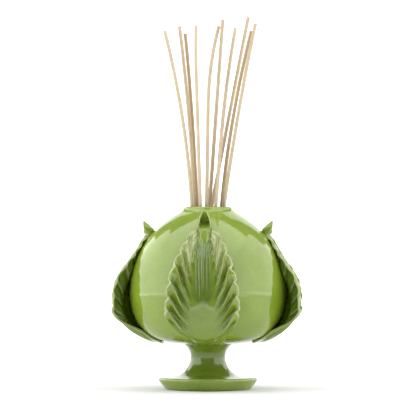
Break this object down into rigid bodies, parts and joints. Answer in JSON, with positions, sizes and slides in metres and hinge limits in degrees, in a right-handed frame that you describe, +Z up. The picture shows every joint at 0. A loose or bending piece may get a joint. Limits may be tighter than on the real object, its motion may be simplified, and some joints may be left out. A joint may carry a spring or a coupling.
{
  "type": "reed diffuser",
  "caption": "Bud-shaped glazed ceramic bowl on a pedestal foot, clad in acanthus leaves, with loose rattan reeds standing in its mouth.",
  "frame": {"origin": "centre of the foot ring, on the surface it stands on", "axes": "+Z up along the vessel's turning axis, -Y towards the front leaf, +X to the viewer's right"},
  "size_m": [0.1492, 0.1492, 0.2985],
  "materials": {
    "green_glaze": "glossy transparent green glaze over fine clay",
    "rattan": "raw unvarnished rattan"
  },
  "bodies": {
    "vessel": {"globe": "green_glaze", "foot": "green_glaze", "leaf_front": "green_glaze", "leaf_right": "green_glaze", "leaf_back": "green_glaze", "leaf_left": "green_glaze"},
    "reed_01": {"reed_01": "rattan"},
    "reed_02": {"reed_02": "rattan"},
    "reed_03": {"reed_03": "rattan"},
    "reed_04": {"reed_04": "rattan"},
    "reed_05": {"reed_05": "rattan"},
    "reed_06": {"reed_06": "rattan"},
    "reed_07": {"reed_07": "rattan"},
    "reed_08": {"reed_08": "rattan"},
    "reed_09": {"reed_09": "rattan"},
    "reed_10": {"reed_10": "rattan"}
  },
  "joints": [
    {"name": "reed_01_lift", "type": "slide", "parent": "vessel", "child": "reed_01", "axis": [-0.0674, 0.0318, 0.9972], "range_m": [0, 0.12]},
    {"name": "reed_02_lift", "type": "slide", "parent": "vessel", "child": "reed_02", "axis": [-0.0635, 0.0424, 0.9971], "range_m": [0, 0.12]},
    {"name": "reed_03_lift", "type": "slide", "parent": "vessel", "child": "reed_03", "axis": [-0.0424, 0.0453, 0.9981], "range_m": [0, 0.12]},
    {"name": "reed_04_lift", "type": "slide", "parent": "vessel", "child": "reed_04", "axis": [-0.0338, 0.0318, 0.9989], "range_m": [0, 0.12]},
    {"name": "reed_05_lift", "type": "slide", "parent": "vessel", "child": "reed_05", "axis": [0.0135, 0.0106, 0.9999], "range_m": [0, 0.12]},
    {"name": "reed_06_lift", "type": "slide", "parent": "vessel", "child": "reed_06", "axis": [0.0759, -0.072, 0.9945], "range_m": [0, 0.12]},
    {"name": "reed_07_lift", "type": "slide", "parent": "vessel", "child": "reed_07", "axis": [0.071, 0.0816, 0.9941], "range_m": [0, 0.12]},
    {"name": "reed_08_lift", "type": "slide", "parent": "vessel", "child": "reed_08", "axis": [0.1865, 0.0644, 0.9803], "range_m": [0, 0.12]},
    {"name": "reed_09_lift", "type": "slide", "parent": "vessel", "child": "reed_09", "axis": [0.0969, -0.0604, 0.9935], "range_m": [0, 0.12]},
    {"name": "reed_10_lift", "type": "slide", "parent": "vessel", "child": "reed_10", "axis": [0.1394, -0.0516, 0.9889], "range_m": [0, 0.12]}
  ]
}
